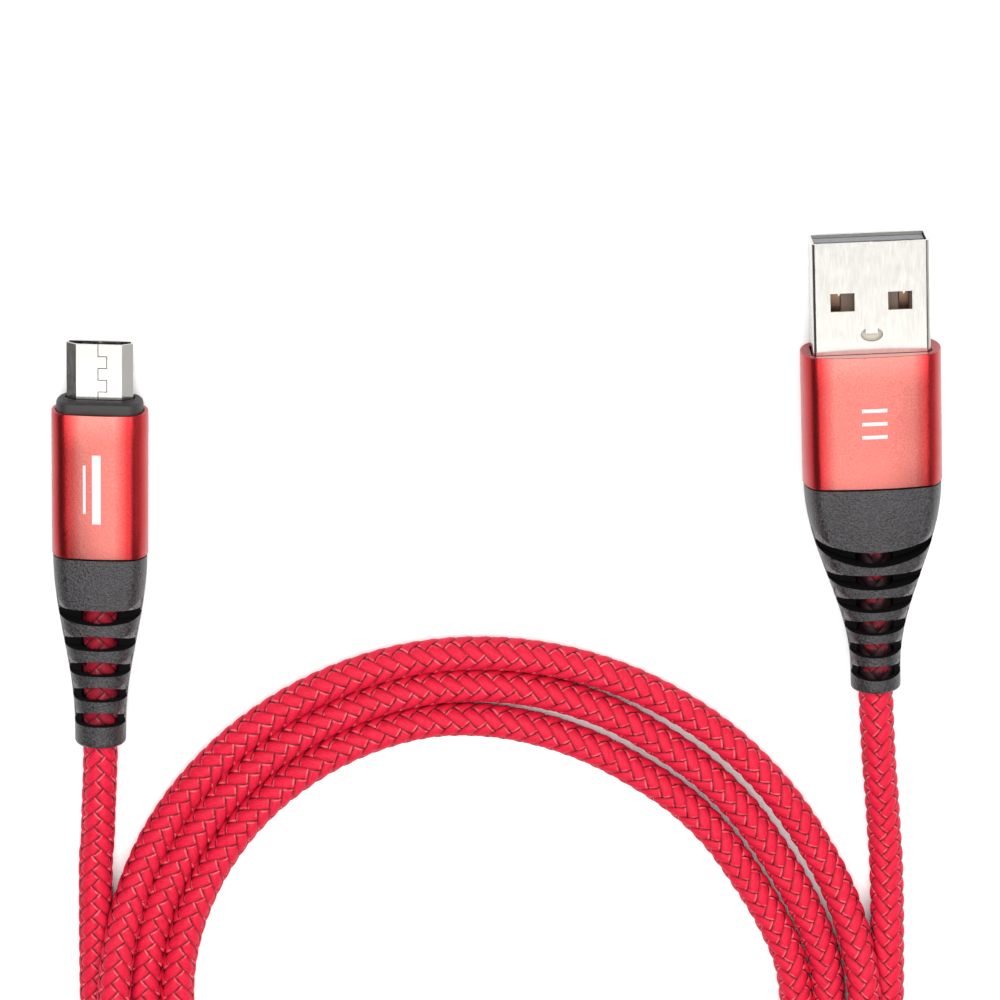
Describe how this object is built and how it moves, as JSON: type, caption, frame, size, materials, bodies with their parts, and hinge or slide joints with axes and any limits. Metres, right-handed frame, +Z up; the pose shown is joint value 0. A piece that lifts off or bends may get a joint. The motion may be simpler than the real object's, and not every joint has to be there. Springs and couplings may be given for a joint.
{
  "type": "charging cable",
  "caption": "Braided charging cable with a USB-A plug, a Micro-B plug with sprung latches, metal sleeves, slotted strain relief boots and a flat coil of cord.",
  "frame": {"origin": "on the surface that the cable lies on, at the middle of the rectangle that the two plugs span", "axes": "+X from the Micro-B plug to the USB-A plug, +Y towards the plugs' tips, +Z up"},
  "size_m": [0.0924, 0.1304, 0.008],
  "materials": {
    "sleeve": "bead-blasted and anodised red, satin",
    "plug_shell": "nickel plated, bright",
    "spring_steel": "bright spring steel",
    "contact": "gold plated",
    "insulator": "moulded, blue grey",
    "inner_mould": "moulded, black",
    "boot": "fine matt texture, dark grey",
    "braid": "woven nylon braid, red",
    "wire_red": "extruded insulation",
    "wire_white": "extruded insulation",
    "wire_green": "extruded insulation",
    "wire_black": "extruded insulation"
  },
  "bodies": {
    "cable": {"usb_a_shell": "plug_shell", "usb_a_insulator": "insulator", "usb_a_contact_1": "contact", "usb_a_contact_2": "contact", "usb_a_contact_3": "contact", "usb_a_contact_4": "contact", "usb_a_inner_mould": "inner_mould", "usb_a_wire_red": "wire_red", "usb_a_wire_white": "wire_white", "usb_a_wire_green": "wire_green", "usb_a_wire_black": "wire_black", "usb_a_crimp": "spring_steel", "usb_a_sleeve": "sleeve", "usb_a_boot": "boot", "micro_shell": "plug_shell", "micro_insulator": "insulator", "micro_contact_1": "contact", "micro_contact_2": "contact", "micro_contact_3": "contact", "micro_contact_4": "contact", "micro_contact_5": "contact", "micro_inner_mould": "inner_mould", "micro_wire_red": "wire_red", "micro_wire_white": "wire_white", "micro_wire_green": "wire_green", "micro_wire_black": "wire_black", "micro_crimp": "spring_steel", "micro_sleeve": "sleeve", "micro_boot": "boot", "cord_tail_usb_a": "braid", "cord_tail_micro": "braid", "cord_coil": "braid"},
    "latch_left": {"micro_latch_left": "spring_steel"},
    "latch_right": {"micro_latch_right": "spring_steel"}
  },
  "joints": [
    {"name": "latch_left_press", "type": "hinge", "parent": "cable", "child": "latch_left", "pos_m": [-0.04341, 0.00403, 0.00251], "axis": [0.9996, -0.0279, 0], "range_deg": [0, 2], "stiffness_Nm_per_rad": 0.02},
    {"name": "latch_right_press", "type": "hinge", "parent": "cable", "child": "latch_right", "pos_m": [-0.03841, 0.00389, 0.00251], "axis": [0.9996, -0.0279, 0], "range_deg": [0, 2], "stiffness_Nm_per_rad": 0.02}
  ]
}
